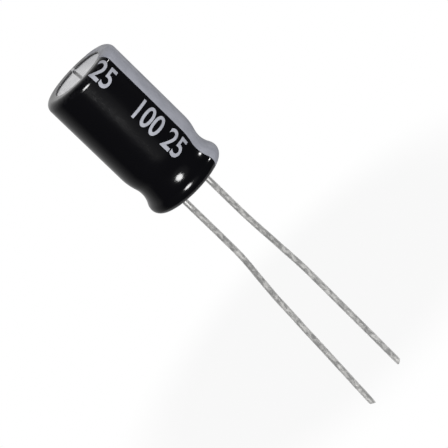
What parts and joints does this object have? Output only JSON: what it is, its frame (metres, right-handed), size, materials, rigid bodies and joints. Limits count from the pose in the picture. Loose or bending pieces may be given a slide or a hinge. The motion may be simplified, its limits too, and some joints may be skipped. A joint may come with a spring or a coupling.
{
  "type": "electrolytic capacitor",
  "caption": "Small radial aluminium electrolytic capacitor: sleeved round can with a beaded foot, a scored top, a rubber seal and two long, slightly bent wire leads.",
  "frame": {"origin": "on the seating plane, the sleeve's underside, midway between the two leads where they leave the seal", "axes": "+Z along the can, from the leads to the scored top; +X from the anode lead to the cathode lead, on the striped side"},
  "size_m": [0.0068, 0.0068, 0.0343],
  "materials": {
    "sleeve_film": "glossy black heat-shrink film",
    "stripe_ink": "pale grey printed ink under the gloss of the film",
    "can_aluminium": "bright drawn aluminium",
    "seal_rubber": "moulded black rubber",
    "terminal_aluminium": "pressed aluminium",
    "tinned_wire": "tin plated, with drawing marks",
    "etched_foil": "matt etched foil",
    "plain_foil": "plain foil",
    "separator_paper": "soaked cellulose paper",
    "closing_tape": "amber film tape"
  },
  "bodies": {
    "root": {"sleeve": "sleeve_film", "polarity_stripe": "stripe_ink", "can": "can_aluminium", "rubber_seal": "seal_rubber", "anode_terminal": "terminal_aluminium", "cathode_terminal": "terminal_aluminium", "anode_lead": "tinned_wire", "cathode_lead": "tinned_wire", "anode_foil": "etched_foil", "cathode_foil": "plain_foil", "separator_inner": "separator_paper", "separator_outer": "separator_paper", "element_tape": "closing_tape"}
  },
  "joints": []
}
